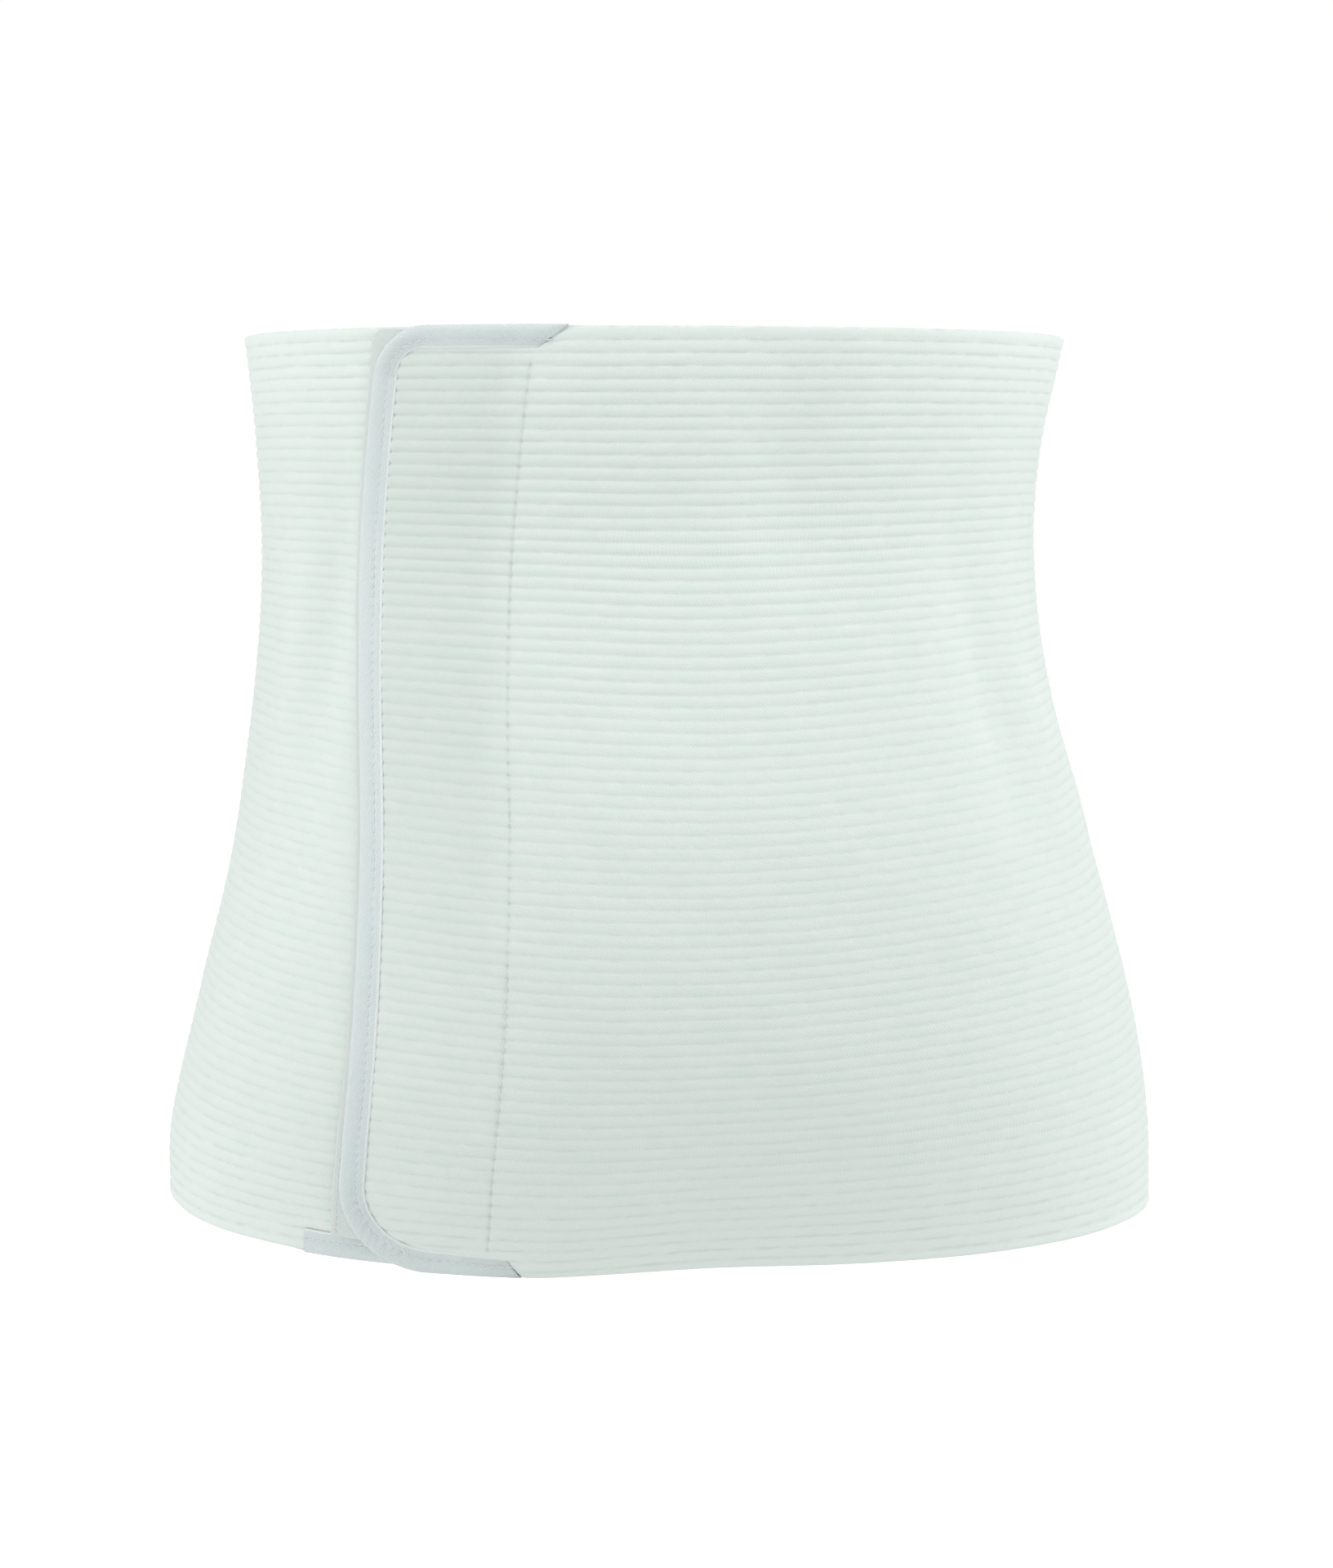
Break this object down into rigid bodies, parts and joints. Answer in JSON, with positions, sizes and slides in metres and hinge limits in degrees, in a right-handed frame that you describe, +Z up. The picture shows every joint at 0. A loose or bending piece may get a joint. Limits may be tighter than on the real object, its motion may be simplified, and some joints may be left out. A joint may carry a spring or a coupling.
{
  "type": "abdominal binder",
  "caption": "Wide ribbed elastic binder in its worn form, wrapped round the waist and hips and closed at the front by a tape-bound flap over a closing strip.",
  "frame": {"origin": "middle of the wearer's waist, at the narrowest height of the worn binder", "axes": "+Z up along the wearer's spine, the wearer's front faces -Y, +X is the right hand of someone who faces the wearer"},
  "size_m": [0.3398, 0.247, 0.3043],
  "materials": {
    "elastic": "matt white ribbed knitted elastic",
    "binding_tape": "matt white twill binding tape, topstitched",
    "closing_strip": "smooth white woven closing strip"
  },
  "bodies": {
    "root": {"elastic_panel": "elastic", "flap_end_binding": "binding_tape", "under_end_binding": "binding_tape", "hook_strip": "closing_strip"}
  },
  "joints": []
}
